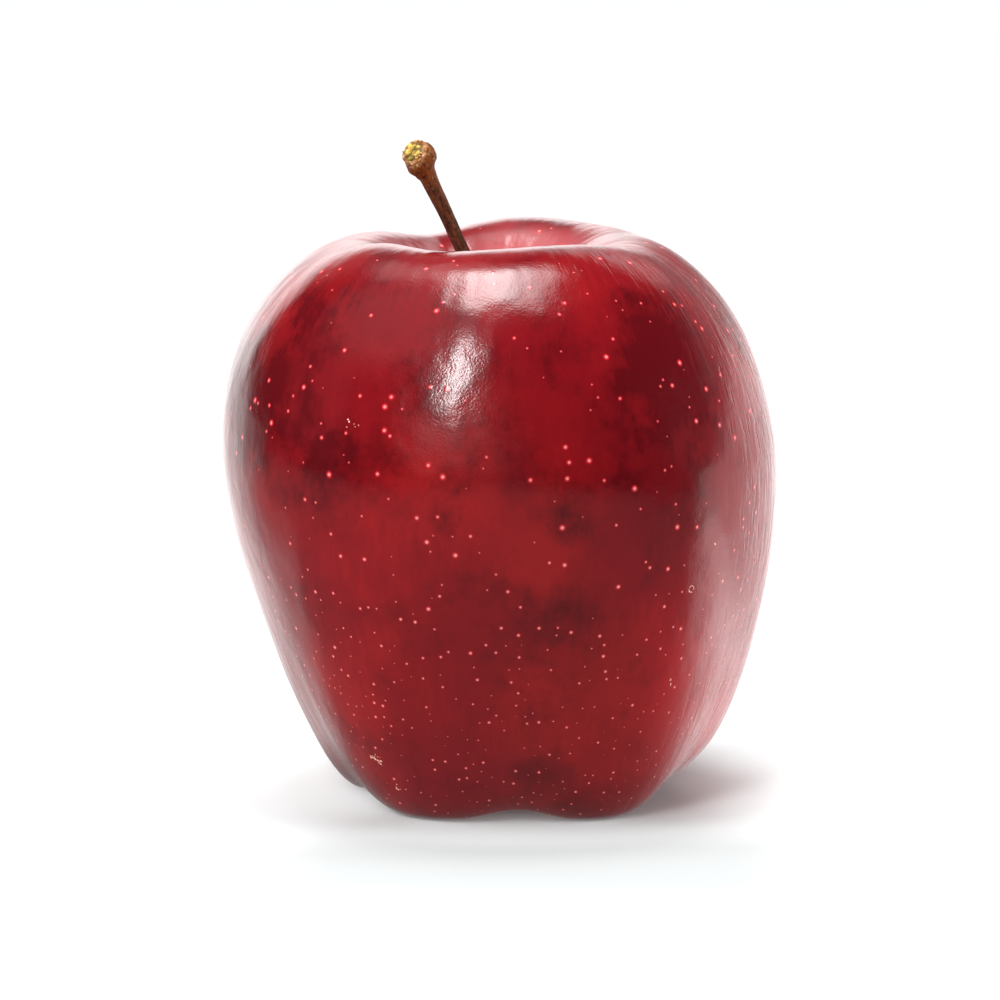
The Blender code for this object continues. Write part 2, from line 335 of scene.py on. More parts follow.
WAVE_HEIGHT, PEEL_HEIGHT, STROKE_HEIGHT, PIT_DEPTH, CUT_DEPTH = 2.9, 0.33, 2.4, 0.9, 2.5  # times it
WAX = {"IOR": 1.45, "Coat Weight": 0.0}


def about_axis(graph, offset, axis):
    """How far an offset goes along an axis, and how far it is from the axis."""
    along = graph.along(offset, axis)
    aside = graph.vector("SUBTRACT", offset, graph.scaled(tuple(axis), along))
    return along, graph.vector("LENGTH", aside, output="Value")


def skin_hollows(graph, place):
    """A mask of the stem's cavity, and one of the bottoms of the cavity and the basin."""
    x, y, z = graph.split(place)
    outwards = graph.far(x, y)
    cavity = graph.fade(outwards, *CAVITY_WALL) * graph.fade(z, *CAVITY_HEIGHTS)
    basin = graph.fade(outwards, *BASIN_WALL) * graph.fade(z, *BASIN_HEIGHTS)
    return cavity, graph.fade(outwards, *CAVITY_BOTTOM) * cavity + basin


def healed_cut(graph, place):
    """A mask of the old cut, which narrows to both ends."""
    offset = graph.vector("SUBTRACT", place, tuple(CUT_MIDDLE))
    along, aside = about_axis(graph, offset, CUT_LINE)
    groove = graph.fade(aside + abs(along) * CUT_TAPER, CUT_WIDTH, CUT_WIDTH * CUT_SLOPE)
    return groove * graph.fade(abs(along), *(CUT_LENGTH * share for share in CUT_ENDS))


def skin_colour(graph, place, cavity, bottoms, cut):
    """Crimson and scarlet, darkened to maroon, rosy in the cavity, with painted light that brightens the
    red low on the flanks and in a few patches.
    """
    x, _, z = graph.split(place)
    mottles = graph.noise(place, *MOTTLES)
    streaks = graph.noise(down_the_skin(graph, place, STREAKS_ALONG), *STREAKS)
    grain = graph.noise(place, *GRAIN)
    mix = mottles + (streaks - 0.5) * STREAKS_WEIGHT + (grain - 0.5) * GRAIN_WEIGHT
    dark = graph.fade(mix, *DARK_MOTTLES) * MOTTLES_DARKEN
    pushed = graph.vector("SUBTRACT", mottles.also("Color"), (0.5, 0.5, 0.5))
    pushed = graph.vector("ADD", place, graph.scaled(pushed, BLOTCH_EDGE * 2.0))
    # a negative strength paints light on the skin
    for *middle, reach, strength in BLOTCHES_AND_PAINTED_LIGHT:
        apart = graph.vector("DISTANCE", pushed, tuple(Vector(middle) * MM), output="Value")
        dark = dark + graph.fade(apart, reach * BLOTCH_RIM * MM, reach * BLOTCH_HEART * MM) * strength
    dark = dark + graph.fade(z, *DARK_SHOULDER) * SHOULDER_DARKENS
    dark = graph.math("MAXIMUM", graph.math("MINIMUM", dark, 1.0), 0.0)

    glow = graph.fade(graph.noise(place, *GLOW) + (streaks - 0.5) * STREAKS_WEIGHT, *GLOWING)
    colour = graph.blend(graph.blend(CRIMSON, SCARLET, glow), MAROON, dark)
    # painted light, brighter red low on the flanks
    flanks = (
        graph.fade(x, *RIGHT_FLANK) * graph.fade(z, *RIGHT_FLANK_LOW)
        + graph.fade(x, *LEFT_FLANK) * graph.fade(z, *LEFT_FLANK_LOW) * LEFT_FLANK_SHARE
    )
    colour = graph.blend(colour, PAINTED_LIGHT_RED, flanks * (FLANKS_EVENLY + glow * (1.0 - FLANKS_EVENLY)))
    rays = graph.fade(graph.noise(down_the_skin(graph, place, RAYS_ALONG), *RAYS), *RUSSET_RAYS)
    colour = graph.blend(colour, ROSE, cavity * ROSE_COVER)
    colour = graph.blend(colour, GREEN_TAN, bottoms * rays * RUSSET_COVER)
    return graph.blend(colour, CUT_RED, cut * CUT_COVER)


def skin_relief(graph, place, cut):
    """Soft waves and a fine orange peel, with strokes and pits that run down the sides."""
    x, y, _ = graph.split(place)
    side = graph.fade(y, *SIDES_BEHIND) * graph.fade(graph.far(x, y), *SIDES_OUTWARDS)
    side = side * (SIDES_LEFT_SHARE + graph.fade(x, *SIDES_RIGHT) * (1.0 - SIDES_LEFT_SHARE))
    waves = graph.noise(place, *WAVES)
    peel = graph.noise(place, *PEEL)
    strokes = graph.noise(down_the_skin(graph, place, STROKES_ALONG), *STROKES)
    pits = graph.fade(graph.noise(down_the_skin(graph, place, PITS_ALONG), *PITS), *PITTED)
    return (
        waves * WAVE_HEIGHT + peel * PEEL_HEIGHT + strokes * side * STROKE_HEIGHT
        - pits * side * PIT_DEPTH - cut * CUT_DEPTH
    )


def skin_looks(graph):
    """The skin's colour, its roughness and the height of its finest relief."""
    place = graph.object_place()
    cavity, bottoms = skin_hollows(graph, place)
    cut = healed_cut(graph, place)
    smears = graph.noise(place, *SMEARS) - 0.5
    roughness = GLOSS_ROUGHNESS + smears * SMEAR_ROUGHNESS + bottoms * RUSSET_ROUGHNESS
    return skin_colour(graph, place, cavity, bottoms, cut), roughness, skin_relief(graph, place, cut)


skin_material, skin_graph = new_material("apple_skin")
surface(skin_graph, WAX, *skin_looks(skin_graph), RELIEF_DEPTH)

skin_tree, skin_input = geometry_tree(
    "skin_surface", {"Detail": "Int", "Ripple Height": "Float", "Across": "Float", "Along": "Float"}
)
skin_fine = skin_tree.node(
    "GeometryNodeSubdivisionSurface", {}, {"Mesh": skin_input, "Level": skin_input.also("Detail")}
)
skin_place = skin_tree.node("GeometryNodeInputPosition")
skin_x, skin_y, skin_z = skin_tree.split(skin_place)
skin_free = (
    skin_tree.fade(skin_z, *FLAT_FEET)
    * skin_tree.fade(skin_tree.far(skin_x, skin_y), *CLEAR_OF_SOCKETS)
)
skin_ripple = skin_tree.noise(
    down_the_skin(skin_tree, skin_place, skin_input.also("Along") / skin_input.also("Across")),
    skin_input.also("Across"),
)
skin_rise = (skin_ripple - 0.5) * skin_free * skin_input.also("Ripple Height") * 2.0
finish_tree(skin_tree, raised(skin_tree, skin_fine, skin_rise), skin_material)

skin = merged_copy("fruit", "skin")
grow(skin, skin_tree, {
    "Detail": SKIN_DETAIL, "Ripple Height": RIPPLE_HEIGHT, "Across": RIPPLES_ACROSS,
    "Along": RIPPLES_ALONG,
})
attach(skin, "root")
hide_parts("fruit")


# ================================================================ the pale dots
#
# Lenticels: pores that the skin breathes through, each a tiny pale, slightly raised spot in a ring
# of brighter red. They are few and large on the shoulder, and small and close on the crown.

DOT_SEED = 11
DOT_SPACING = 1.05 * MM
DOT_DENSITY = 300000.0  # for each square metre on the crown
DOT_SHARE_ABOVE = 0.20  # of that density on the shoulder
DOT_FADE = (8.0 * MM, 46.0 * MM)  # heights between which they thin out
DOT_RADII = (0.22 * MM, 0.70 * MM)
DOT_SMALLNESS = 1.4  # above 1, most are nearer to the smallest
DOT_CROWN = 0.62  # share of their size that is left on the crown
DOT_RISE = 0.05  # of its radius
DOT_SUNK = 0.22  # how far its rim is under the skin, in twice its rise
DOT_SIDES = 10
DOT_RINGS = 4
DOT_FAINTEST = 0.4
DOT_DIM = (32.0 * MM, 54.0 * MM)  # heights between which their hearts grow duller
DOT_DIMMED = 0.38
DOT_HALO = (0.05, 0.60)  # from the rim, at 0, to the middle, at 1
DOT_HEART = (0.52, 0.84)
DOT_PINK = (0.82, 0.34, 0.31, 1.0)
DOT_RED = (0.46, 0.011, 0.020, 1.0)

dot_material, dot_graph = new_material("pale_dots")
dot_colour, dot_roughness, dot_height = skin_looks(dot_graph)
dot_inwards = dot_graph.attribute("heart")
dot_strength = dot_graph.attribute("strength")
dot_level = dot_graph.split(dot_graph.object_place())[2]
dot_halo = dot_graph.fade(dot_inwards, *DOT_HALO) * dot_strength
dot_pale = dot_strength * (1.0 - dot_graph.fade(dot_level, *DOT_DIM) * DOT_DIMMED)
dot_colour = dot_graph.blend(dot_colour, DOT_RED, dot_halo)
dot_colour = dot_graph.blend(dot_colour, DOT_PINK, dot_graph.fade(dot_inwards, *DOT_HEART) * dot_pale)
surface(dot_graph, WAX, dot_colour, dot_roughness, dot_height, RELIEF_DEPTH)

dot_tree, dot_input = geometry_tree("pale_dots", {
    "Seed": "Int", "Spacing": "Float", "Density": "Float", "Share Above": "Float",
    "Smallest": "Float", "Largest": "Float", "Crown": "Float", "Rise": "Float",
})
dot_z = dot_tree.split(dot_tree.node("GeometryNodeInputPosition"))[2]
dot_share = 1.0 - dot_tree.fade(dot_z, *DOT_FADE) * (1.0 - dot_input.also("Share Above"))
dot_points = dot_tree.node(
    "GeometryNodeDistributePointsOnFaces", {"distribute_method": "POISSON"},
    {"Mesh": dot_input, "Distance Min": dot_input.also("Spacing"), "Density Factor": dot_share,
     "Density Max": dot_input.also("Density"), "Seed": dot_input.also("Seed")},
)
dot_disc = dot_tree.node(
    "GeometryNodeMeshCone", {"fill_type": "NONE"},
    {"Vertices": DOT_SIDES, "Side Segments": DOT_RINGS, "Radius Top": 0.0, "Radius Bottom": 1.0,
     "Depth": 1.0},
)
disc_x, disc_y, disc_z = dot_tree.split(dot_tree.node("GeometryNodeInputPosition"))
disc_rise = (disc_z - disc_z * disc_z * 0.5 - DOT_SUNK) * dot_input.also("Rise") * 2.0
dot_dome = dot_tree.node(
    "GeometryNodeSetPosition", {},
    {"Geometry": dot_disc, "Position": dot_tree.joined(disc_x, disc_y, disc_rise)},
)
dot_dome = dot_tree.node(
    "GeometryNodeStoreNamedAttribute", {"data_type": "FLOAT", "domain": "POINT"},
    {"Geometry": dot_dome, "Name": "heart", "Value": 1.0 - dot_tree.far(disc_x, disc_y)},
)
dot_chance = dot_tree.node(
    "FunctionNodeRandomValue", {"data_type": "FLOAT"}, {"Seed": dot_input.also("Seed")}, 1
)
dot_size = dot_tree.node(
    "ShaderNodeMapRange", {},
    {"Value": dot_tree.math("POWER", dot_chance, DOT_SMALLNESS),
     "To Min": dot_input.also("Smallest"), "To Max": dot_input.also("Largest")},
)
dot_size = dot_size * (1.0 - (1.0 - dot_tree.fade(dot_z, *DOT_FADE)) * (1.0 - dot_input.also("Crown")))
dot_copies = dot_tree.node(
    "GeometryNodeInstanceOnPoints", {},
    {"Points": dot_points, "Instance": dot_dome, "Rotation": dot_points.also("Rotation"),
     "Scale": dot_size},
)
dot_copies = dot_tree.node(
    "GeometryNodeStoreNamedAttribute", {"data_type": "FLOAT", "domain": "INSTANCE"},
    {"Geometry": dot_copies, "Name": "strength",
     "Value": dot_chance * (1.0 - DOT_FAINTEST) + DOT_FAINTEST},
)
finish_tree(dot_tree, dot_copies, dot_material)

dots = new_object("lenticels", skin.data.copy())
grow(dots, dot_tree, {
    "Seed": DOT_SEED, "Spacing": DOT_SPACING, "Density": DOT_DENSITY,
    "Share Above": DOT_SHARE_ABOVE, "Smallest": DOT_RADII[0], "Largest": DOT_RADII[1],
    "Crown": DOT_CROWN, "Rise": DOT_RISE,
})
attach(dots, "root")


# ================================================================ the corky marks
#
# Small wounds that healed with pale cork: scatters of flecks low on the left, specks elsewhere and
# a broken ring on the right. Each fleck is a thin flake that lies on the skin.

MARK_SEED = 7
FLAKE_SIDES = 9
FLAKE_RISE = 0.025 * MM
FLAKE_RINGS = ((0.55, 0.9), (1.0, -0.5))  # share of a flake's reach, and share of its rise
FLAKE_UNEVEN = (0.6, 1.3)  # shares of its radius between which its reach changes
CORK_PINK = (0.74, 0.27, 0.21, 1.0)
CORK_PALE = (0.86, 0.56, 0.44, 1.0)
CORK_GRAIN = (3200.0, 3.0, 0.6)
CORK_MIX = (0.42, 0.62)  # noise between which the pink turns pale
CORK_RELIEF = 0.03 * MM
UNWAXED = {"IOR": 1.4}
SCATTERS = (  # turn (degrees), height, number, spread along and across, lean (degrees), radii (mm)
    (-36.0, 8.9, 13, 1.15, 0.20, 18.0, (0.10, 0.24)),
    (-38.5, 9.3, 6, 0.45, 0.35, 0.0, (0.08, 0.17)),
    (-32.0, 4.9, 6, 0.55, 0.35, 60.0, (0.07, 0.18)),
    (-31.0, 55.5, 6, 0.65, 0.65, 0.0, (0.09, 0.16)),
    (41.5, 20.0, 3, 0.60, 0.12, 0.0, (0.12, 0.20)),
    (49.0, 38.6, 3, 0.30, 0.25, 0.0, (0.10, 0.20)),
    (150.0, 40.0, 7, 0.80, 0.30, -30.0, (0.08, 0.22)),
    (-110.0, 30.0, 5, 0.50, 0.40, 0.0, (0.08, 0.20)),
)
RING_TURN = 43.0
RING_HEIGHT = 32.8
RING_RADIUS = 0.46
RING_FLAKES = 9
RING_FLAKE_RADII = (0.10, 0.17)
RING_JITTER = 0.2  # of the step from one flake to the next
OUTSIDE = 100.0 * MM  # from the core line, well clear of the skin
UP = Vector((0.0, 0.0, 1.0))


def shape_of(obj):
    """The object's surface, to find places on."""
    bm = bmesh.new()
    bm.from_mesh(obj.data)
    shape = BVHTree.FromBMesh(bm)
    bm.free()
    return shape


def made_of(name, bm, material):
    """A smooth object from this mesh, in one material."""
    mesh = bpy.data.meshes.new(name)
    bm.to_mesh(mesh)
    bm.free()
    mesh.shade_smooth()
    mesh.materials.append(material)
    return new_object(name, mesh)


skin_shape = shape_of(skin)


def on_the_skin(turn, height):
    """The place on the skin at this turn round the core and this height, and which way it faces."""
    outwards = Vector((math.sin(math.radians(turn)), -math.cos(math.radians(turn)), 0.0))
    place, facing, *_ = skin_shape.ray_cast(outwards * OUTSIDE + UP * (height * MM), -outwards)
    return place, facing


def level_and_up(facing):
    """Two directions in a surface that faces this way: the level one, and the one that climbs."""
    level = UP.cross(facing).normalized()
    return level, facing.cross(level)


def add_flake(bm, place, facing, radius, dice):
    """A thin flake with an uneven outline. Its rim goes just under the skin."""
    level, upwards = level_and_up(facing)
    reach = [radius * dice.uniform(*FLAKE_UNEVEN) for _ in range(FLAKE_SIDES)]
    heart = bm.verts.new(place + facing * FLAKE_RISE)
    rings = []
    for share, rise in FLAKE_RINGS:
        ring = []
        for side in range(FLAKE_SIDES):
            angle = math.tau * side / FLAKE_SIDES
            spot = level * math.cos(angle) + upwards * math.sin(angle)
            spot, out, *_ = skin_shape.find_nearest(place + spot * reach[side] * share)
            ring.append(bm.verts.new(spot + out * FLAKE_RISE * rise))
        rings.append(ring)
    inner, outer = rings
    for side in range(FLAKE_SIDES):
        after = (side + 1) % FLAKE_SIDES
        bm.faces.new((heart, inner[side], inner[after]))
        bm.faces.new((inner[side], outer[side], outer[after], inner[after]))


dice = random.Random(MARK_SEED)
marks_bm = bmesh.new()
for turn, height, number, along, across, lean, radii in SCATTERS:
    middle, facing = on_the_skin(turn, height)
    level, upwards = level_and_up(facing)
    tilt = math.radians(lean)
    for _ in range(number):
        a, b = dice.uniform(-along, along), dice.gauss(0.0, across)
        spot = level * (b * math.cos(tilt) - a * math.sin(tilt))
        spot = middle + (spot + upwards * (a * math.cos(tilt) + b * math.sin(tilt))) * MM
        spot, out, *_ = skin_shape.find_nearest(spot)
        add_flake(marks_bm, spot, out, dice.uniform(*radii) * MM, dice)

middle, facing = on_the_skin(RING_TURN, RING_HEIGHT)
level, upwards = level_and_up(facing)
for flake in range(RING_FLAKES):
    angle = math.tau * (flake + dice.uniform(-RING_JITTER, RING_JITTER)) / (RING_FLAKES + 1)
    spot = level * math.cos(angle) + upwards * math.sin(angle)
    spot, out, *_ = skin_shape.find_nearest(middle + spot * RING_RADIUS * MM)
    add_flake(marks_bm, spot, out, dice.uniform(*RING_FLAKE_RADII) * MM, dice)

cork_material, cork_graph = new_material("pale_cork")
cork_grain = cork_graph.noise(cork_graph.object_place(), *CORK_GRAIN)
cork_colour = cork_graph.blend(CORK_PINK, CORK_PALE, cork_graph.fade(cork_grain, *CORK_MIX))
surface(cork_graph, UNWAXED, cork_colour, 0.45 + cork_grain * 0.3, cork_grain, CORK_RELIEF)

marks = made_of("corky_flecks", marks_bm, cork_material)
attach(marks, "root")


# ================================================================ the stem
#
# The woody stalk that the apple hung from: brown bark over a tough core, with fine ridges along it
# and a swollen knob where it tore off the twig. It has grown into the bottom of the cavity.

BARK_VOXEL = 0.10 * MM
BARK_AXIS = Vector((-0.41, -0.06, 0.91)).normalized()
BARK_SHADED_SIDE = Vector((-0.87, -0.30, -0.41)).normalized()  # the side with painted shade, a purple-dark tint
BARK_SHADED_SIDE_FADE = (0.1 * MM, 0.7 * MM)
RIDGE_HEIGHT = 0.07 * MM
RIDGES, RIDGES_DRAWN = (1500.0, 3.0, 0.5), 7.0  # a noise, and how many times longer it is drawn
PIMPLE_HEIGHT = 0.13 * MM
PIMPLES = (1700.0, 2.0, 0.5)
PIMPLES_NEAR = (4.5 * MM, 2.5 * MM)  # from the middle of the knob
FIBRES, FIBRES_DRAWN = (2200.0, 4.0, 0.6), 6.0
SPOTS = (1500.0, 3.0, 0.6)
FINE_BARK = (3800.0, 2.0, 0.6)
BARK_MIX = (0.38, 0.60)
BARK_ORANGE = (5.0 * MM, 2.0 * MM)  # from the middle of the knob
BARK_LOW = (84.0 * MM, 72.0 * MM)  # heights between which it darkens downwards
TAN_SPOTS = (0.60, 0.72)
TAN_RIM = (0.40, 0.60)
BARK_RELIEF = 0.16 * MM
BARK = {"IOR": 1.33}
BARK_SHADE_PURPLE = (0.022, 0.0050, 0.0058, 1.0)
BARK_DARK = (0.020, 0.0058, 0.0026, 1.0)
BARK_BROWN = (0.115, 0.032, 0.0105, 1.0)
KNOB_ORANGE = (0.185, 0.046, 0.007, 1.0)
BARK_TAN = (0.46, 0.24, 0.10, 1.0)
SCAR_OLIVE = (0.13, 0.085, 0.018, 1.0)
KNOB_INSET = Vector((2.40, 2.47, -2.43)) * MM  # from the stem's lowest x and y and its highest z
SCAR_FACING = Vector((-0.50, -0.68, 0.54)).normalized()
SCAR_DEPTH = 1.4 * MM
SCAR_RADIUS = 1.5 * MM
SCAR_INSIDE = (1.12, 0.78)  # shares of its radius between which its face fades in
SCAR_RIM = (0.80, 1.05)  # and its rim
SCAR_FACE = (-0.75 * MM, -0.15 * MM)  # heights over its middle between which both fade in

stem_low, stem_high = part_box("stem")
knob = Vector((stem_low.x, stem_low.y, stem_high.z)) + KNOB_INSET
scar = knob + SCAR_FACING * SCAR_DEPTH


def along_the_stem(graph, place, stretch):
    """The place squeezed along the stem, so that a pattern on it is drawn out along the bark."""
    squeeze = graph.along(place, BARK_AXIS) * (1.0 - 1.0 / stretch)
    return graph.vector("SUBTRACT", place, graph.scaled(tuple(BARK_AXIS), squeeze))


def scar_masks(graph, place):
    """Masks of the scar's face and of its rim."""
    offset = graph.vector("SUBTRACT", place, tuple(scar))
    above, radius = about_axis(graph, offset, SCAR_FACING)
    near = graph.fade(above, *SCAR_FACE)
    inside = graph.fade(radius, *(SCAR_RADIUS * share for share in SCAR_INSIDE)) * near
    rim = graph.fade(radius, *(SCAR_RADIUS * share for share in SCAR_RIM)) * near
    return inside, rim


bark_material, bark_graph = new_material("bark")
bark_place = bark_graph.object_place()
bark_long = bark_graph.noise(along_the_stem(bark_graph, bark_place, FIBRES_DRAWN), *FIBRES)
bark_spots = bark_graph.noise(bark_place, *SPOTS)
bark_fine = bark_graph.noise(bark_place, *FINE_BARK)
bark_offset = bark_graph.vector("SUBTRACT", bark_place, tuple(knob))
bark_toward_shade = bark_graph.along(bark_offset, BARK_SHADED_SIDE) + (bark_spots - 0.5) * 1.5 * MM
bark_near = bark_graph.fade(
    bark_graph.vector("LENGTH", bark_offset, output="Value"), *BARK_ORANGE
)
bark_down = bark_graph.fade(bark_graph.split(bark_place)[2], *BARK_LOW)
bark_inside, bark_rim = scar_masks(bark_graph, bark_place)
# painted shade: the bark is tinted purple-dark on its left side
bark_dark_and_painted_shade = bark_graph.blend(
    BARK_DARK, BARK_SHADE_PURPLE, bark_graph.fade(bark_toward_shade, *BARK_SHADED_SIDE_FADE)
)
bark_light = bark_graph.blend(BARK_BROWN, KNOB_ORANGE, bark_near)
bark_mix = bark_long * 0.6 + bark_fine * 0.4 + bark_near * 0.05 - bark_down * 0.07
bark_colour = bark_graph.blend(bark_dark_and_painted_shade, bark_light, bark_graph.fade(bark_mix, *BARK_MIX))
for bark_over, bark_cover in (
    (BARK_TAN, bark_graph.fade(bark_spots, *TAN_SPOTS) * (0.25 + bark_near * 0.45)),
    (BARK_TAN, bark_rim * bark_graph.fade(bark_spots, *TAN_RIM)),
    (SCAR_OLIVE, bark_inside),
):
    bark_colour = bark_graph.blend(bark_colour, bark_over, bark_cover)
surface(
    bark_graph, BARK, bark_colour, 0.42 + bark_spots * 0.3,
    bark_long + bark_spots * 0.6 + bark_fine * 0.5, BARK_RELIEF,
)

bark_tree, bark_input = geometry_tree("bark_relief", {"Ridge Height": "Float", "Pimple Height": "Float"})
bark_at = bark_tree.node("GeometryNodeInputPosition")
bark_ridge = bark_tree.noise(along_the_stem(bark_tree, bark_at, RIDGES_DRAWN), *RIDGES) - 0.5
bark_pimple = bark_tree.noise(bark_at, *PIMPLES) - 0.5
bark_knob = bark_tree.fade(
    bark_tree.vector("DISTANCE", bark_at, tuple(knob), output="Value"), *PIMPLES_NEAR
)
bark_rise = (
    bark_ridge * bark_input.also("Ridge Height") * 2.0
    + bark_pimple * (0.3 + bark_knob) * bark_input.also("Pimple Height") * 2.0
)
finish_tree(bark_tree, raised(bark_tree, bark_input, bark_rise), bark_material)


def remeshed(node, name, voxel):
    """A copy of a CAD node with an even, fine mesh."""
    obj = merged_copy(node, name)
    remesh = obj.modifiers.new("even_mesh", "REMESH")
    remesh.mode = "VOXEL"
    remesh.voxel_size = voxel
    apply_modifiers(obj)
    return obj


stem = remeshed("stem", "stem_bark", BARK_VOXEL)
grow(stem, bark_tree, {"Ridge Height": RIDGE_HEIGHT, "Pimple Height": PIMPLE_HEIGHT})
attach(stem, "root")
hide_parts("stem")


# ================================================================ the cork on the scar
#
# Yellow-green crumbs of cork that grew over the wound where the stem left the twig, and tan ones
# round its rim. Each is a small uneven lump, sunk into the end of the knob.

CRUMB_SEED = 3
CRUMB_RINGS = (  # number, distances from the middle of the scar, radii (mm), 1 for yellow-green
    (17, (0.0, 1.20), (0.34, 0.62), 1.0),
    (44, (1.30, 1.95), (0.12, 0.28), 0.0),
)
CRUMB_START = 3.0 * MM  # over the scar, where the search for its place begins
CRUMB_DETAIL = 2
CRUMB_WIDTH = (0.6, 0.9)  # of its length
CRUMB_THICKNESS = (0.45, 0.75)
CRUMB_SUNK = 0.35  # of its radius
CRUMB_ROUGHNESS = 0.16
CRUMB_BUMPS = 1.3  # for each radius
CRUMB_GRAIN = (2600.0, 3.0, 0.6)
CRUMB_MIX = (0.15, 0.75)
CRUMB_RELIEF = 0.05 * MM
NOISE_SPAN = 9.0
CORK_YELLOW = (0.60, 0.385, 0.090, 1.0)
CORK_OLIVE = (0.21, 0.14, 0.028, 1.0)
CORK_TAN = (0.60, 0.36, 0.19, 1.0)
CORK_RUST = (0.17, 0.052, 0.013, 1.0)

crumb_material, crumb_graph = new_material("scar_cork")
crumb_grain = crumb_graph.noise(crumb_graph.object_place(), *CRUMB_GRAIN)
crumb_mix = crumb_graph.fade(crumb_graph.attribute("tone") + (crumb_grain - 0.5) * 0.9, *CRUMB_MIX)
crumb_colour = crumb_graph.blend(
    crumb_graph.blend(CORK_RUST, CORK_TAN, crumb_mix),
    crumb_graph.blend(CORK_OLIVE, CORK_YELLOW, crumb_mix), crumb_graph.attribute("kind"),
)
surface(crumb_graph, UNWAXED, crumb_colour, 0.55 + crumb_grain * 0.3, crumb_grain, CRUMB_RELIEF)

stem_shape = shape_of(stem)
dice = random.Random(CRUMB_SEED)
crumbs_bm = bmesh.new()
tone_layer = crumbs_bm.verts.layers.float.new("tone")
kind_layer = crumbs_bm.verts.layers.float.new("kind")
scar_level = SCAR_FACING.orthogonal().normalized()
scar_across = SCAR_FACING.cross(scar_level)
for number, (nearest, farthest), radii, kind in CRUMB_RINGS:
    for _ in range(number):
        angle = dice.uniform(0.0, math.tau)
        apart = math.sqrt(dice.uniform((nearest / farthest) ** 2, 1.0)) * farthest * MM
        spot = scar_level * math.cos(angle) + scar_across * math.sin(angle)
        start = scar + spot * apart + SCAR_FACING * CRUMB_START
        place, out, *_ = stem_shape.ray_cast(start, -SCAR_FACING)
        if place is None:
            continue
        radius = dice.uniform(*radii) * MM
        tone = dice.random()
        lump = bmesh.ops.create_icosphere(crumbs_bm, subdivisions=CRUMB_DETAIL, radius=radius)["verts"]
        squash = Vector((1.0, dice.uniform(*CRUMB_WIDTH), dice.uniform(*CRUMB_THICKNESS)))
        turned = Quaternion([dice.gauss(0.0, 1.0) for _ in range(4)]).normalized()
        phase = Vector([dice.uniform(0.0, NOISE_SPAN) for _ in range(3)])
        for vert in lump:
            bump = noise.noise(vert.co / radius * CRUMB_BUMPS + phase) * CRUMB_ROUGHNESS * 2.0
            vert.co = turned @ (vert.co * squash * (1.0 + bump)) + place - out * radius * CRUMB_SUNK
            vert[tone_layer] = tone
            vert[kind_layer] = kind
crumbs = made_of("scar_cork", crumbs_bm, crumb_material)
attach(crumbs, "root")


# ================================================================ the calyx
#
# What is left of the flower, dried to a grey-brown paper: a button with five pointed sepals that
# curl outwards and a tuft of stamens, in the bottom of the basin under the fruit.

CALYX_VOXEL = 0.13 * MM
WRINKLE_HEIGHT = 0.08 * MM
WRINKLES, WRINKLES_DRAWN = (1400.0, 3.0), (1.0, 1.0, 0.3)  # a noise, and the squeeze of its place
VEINS, VEINS_DRAWN = (2600.0, 3.0), (1.0, 1.0, 0.2)
DRY_PATCHES = (900.0, 4.0, 0.6)
DRY_MIX = (0.36, 0.66)
DRY_RELIEF = 0.10 * MM
DRY_BROWN = (0.060, 0.032, 0.016, 1.0)
DRY_GREY = (0.21, 0.165, 0.105, 1.0)

dry_material, dry_graph = new_material("dried_flower")
dry_place = dry_graph.object_place()
dry_patch = dry_graph.noise(dry_place, *DRY_PATCHES)
dry_vein = dry_graph.noise(dry_graph.vector("MULTIPLY", dry_place, VEINS_DRAWN), *VEINS)
dry_mix = dry_graph.fade(dry_patch + (dry_vein - 0.5) * 0.5, *DRY_MIX)
dry_colour = dry_graph.blend(DRY_BROWN, DRY_GREY, dry_mix)
surface(dry_graph, UNWAXED, dry_colour, 0.75 + dry_patch * 0.2, dry_vein, DRY_RELIEF)

dry_tree, dry_input = geometry_tree("dry_wrinkles", {"Wrinkle Height": "Float"})
dry_at = dry_tree.vector("MULTIPLY", dry_tree.node("GeometryNodeInputPosition"), WRINKLES_DRAWN)
dry_rise = (dry_tree.noise(dry_at, *WRINKLES) - 0.5) * dry_input.also("Wrinkle Height")
finish_tree(dry_tree, raised(dry_tree, dry_input, dry_rise), dry_material)

calyx = remeshed("calyx", "calyx_dried", CALYX_VOXEL)
grow(calyx, dry_tree, {"Wrinkle Height": WRINKLE_HEIGHT})
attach(calyx, "root")
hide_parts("calyx")


# ================================================================ the calyx down and stamens
#
# The grey down that felts the sepals, and the wiry remains of the stamens with a speck of dried
# anther on each. They grow from the calyx and are matted and bent.

DOWN_SEED = 21
DOWN_HAIRS = 420
DOWN_LENGTH = (0.30 * MM, 0.85 * MM)
DOWN_RADIUS = 0.016 * MM
DOWN_SPREAD = 0.55
DOWN_BEND = 0.35
DOWN_FLATTEST = 0.2  # a hair that lies flatter than this stands straight up
STAMENS = 13
STAMEN_RING = 1.0 * MM
STAMEN_LENGTH = (1.1 * MM, 2.2 * MM)
STAMEN_RADIUS = 0.06 * MM
STAMEN_SUNK = 0.2 * MM
STAMEN_LEAN = 0.5  # outwards for each part down
STAMEN_SPREAD = 0.15
STAMEN_BEND = 0.25
THREAD_TAPER = 0.7
THREAD_SIDES = 3
BELOW_CALYX = 5.0 * MM
ANTHER_RADIUS = 0.17 * MM
ANTHER_SHAPE = Vector((0.7, 0.7, 1.3))
DOWN_GREY = (0.42, 0.37, 0.29, 1.0)
DOWN_BUFF = (0.25, 0.19, 0.12, 1.0)
DOWN_TONES = (1300.0, 3.0, 0.6)
DOWN_MIX = (0.38, 0.62)

calyx_shape = shape_of(calyx)
calyx_low, calyx_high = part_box("calyx")
calyx_middle = (calyx_low + calyx_high) / 2.0


